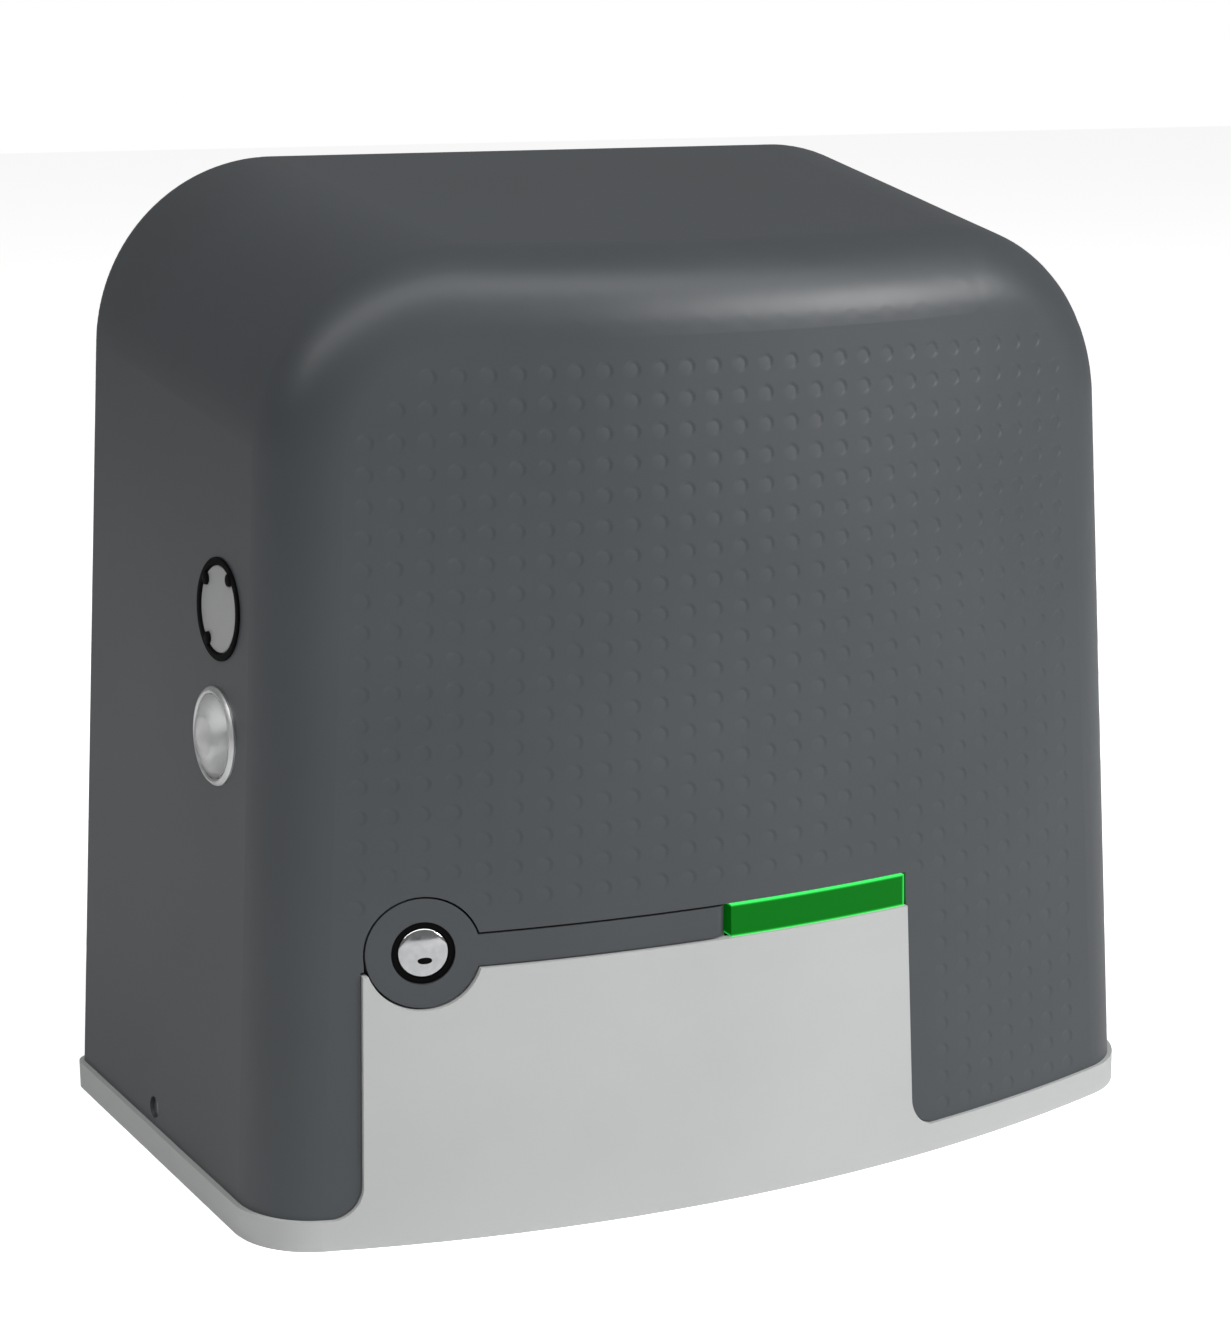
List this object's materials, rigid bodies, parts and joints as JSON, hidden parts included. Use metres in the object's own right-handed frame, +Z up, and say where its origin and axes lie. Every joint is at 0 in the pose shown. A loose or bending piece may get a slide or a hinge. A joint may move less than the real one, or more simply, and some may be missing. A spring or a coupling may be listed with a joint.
{
  "type": "sliding gate motor",
  "caption": "Sliding gate motor with a moulded dimpled cover, light-grey base, keyed release lever, indicator light bar, worm gear drive and a rear rack pinion.",
  "frame": {"origin": "middle of the machine at the level of the foundation it stands on", "axes": "+Z up, the bowed front with its release lever faces -Y, the rack pinion is at +Y, +X to the right seen from the front"},
  "size_m": [0.3288, 0.212, 0.3004],
  "materials": {
    "cover_plastic": "fine moulded texture, dark grey",
    "base_plastic": "fine moulded texture, light grey",
    "black_plastic": "moulded, black",
    "light_green": "translucent light guide, green",
    "chrome_lock": "polished chrome",
    "steel": "turned steel",
    "zinc_steel": "bright zinc plated steel",
    "cast_aluminium": "die cast, as cast",
    "bronze": "machined bronze",
    "black_can": "black painted steel",
    "board_green": "solder mask on glass fibre board",
    "terminal_green": "moulded nylon",
    "winding_tape": "polyester tape over copper winding",
    "clear_lens": "clear polycarbonate",
    "rubber": "nitrile rubber",
    "ferrite": "sintered ferrite"
  },
  "bodies": {
    "root": {"base_housing": "base_plastic", "cover": "cover_plastic", "lever_pin": "steel", "lock_catch": "base_plastic", "light_bar": "light_green", "light_board": "board_green", "slide_guides": "black_plastic", "shaft_bearings": "steel", "oil_seal": "rubber", "worm_bearings": "steel", "gearbox_housing": "cast_aluminium", "gearbox_cover": "cast_aluminium", "gearbox_screws": "zinc_steel", "flange_screws": "zinc_steel", "motor_can": "black_can", "motor_end_bell": "cast_aluminium", "field_magnets": "ferrite", "brush_ring": "black_plastic", "brushes": "ferrite", "board_tray": "black_plastic", "control_board": "board_green", "terminal_blocks": "terminal_green", "relays": "black_plastic", "heat_sink": "cast_aluminium", "fuse_holders": "black_plastic", "display_module": "black_plastic", "transformer": "winding_tape", "transformer_clamp": "zinc_steel", "transformer_bolt": "zinc_steel", "levelling_screws": "zinc_steel", "plug_ring": "black_plastic", "lens_ring": "black_plastic", "blanking_plug": "base_plastic", "sensor_lens": "clear_lens", "sensor_board": "board_green", "cover_screws": "zinc_steel"},
    "output": {"worm_wheel": "bronze", "output_shaft": "steel", "output_pinion": "zinc_steel", "pinion_washer": "zinc_steel", "pinion_screw": "zinc_steel"},
    "rotor": {"worm_shaft": "steel", "armature": "winding_tape", "commutator": "bronze", "encoder_disc": "black_plastic"},
    "lever": {"release_lever": "cover_plastic", "lock_barrel": "black_plastic"},
    "lock": {"lock_plug": "chrome_lock", "lock_cam": "zinc_steel"},
    "release_slide": {"release_slide": "black_plastic"},
    "clutch_rod": {"clutch_rod": "steel"}
  },
  "joints": [
    {"name": "output_spin", "type": "hinge", "parent": "root", "child": "output", "pos_m": [0, 0.086, 0.086], "axis": [0, 1, 0], "continuous": true},
    {"name": "rotor_spin", "type": "hinge", "parent": "root", "child": "rotor", "pos_m": [-0.045, 0.024, 0.15], "axis": [0, 0, 1], "continuous": true},
    {"name": "lever_swing", "type": "hinge", "parent": "root", "child": "lever", "pos_m": [-0.015, -0.09629, 0.086], "axis": [0, 0, 1], "range_deg": [0, 90]},
    {"name": "lock_turn", "type": "hinge", "parent": "lever", "child": "lock", "pos_m": [-0.1024, -0.08949, 0.0864], "axis": [0.2241, 0.9746, 0], "range_deg": [0, 90]},
    {"name": "release_travel", "type": "slide", "parent": "root", "child": "release_slide", "axis": [-1, 0, 0], "range_m": [0, 0.0085]},
    {"name": "clutch_travel", "type": "slide", "parent": "root", "child": "clutch_rod", "axis": [0, 1, 0], "range_m": [0, 0.0041]}
  ],
  "couplings": [
    {"joint": "rotor_spin", "follows": "output_spin", "ratio": -36},
    {"joint": "release_travel", "follows": "lever_swing", "m_per_rad": 0.0054019},
    {"joint": "clutch_travel", "follows": "lever_swing", "m_per_rad": 0.0025465}
  ]
}
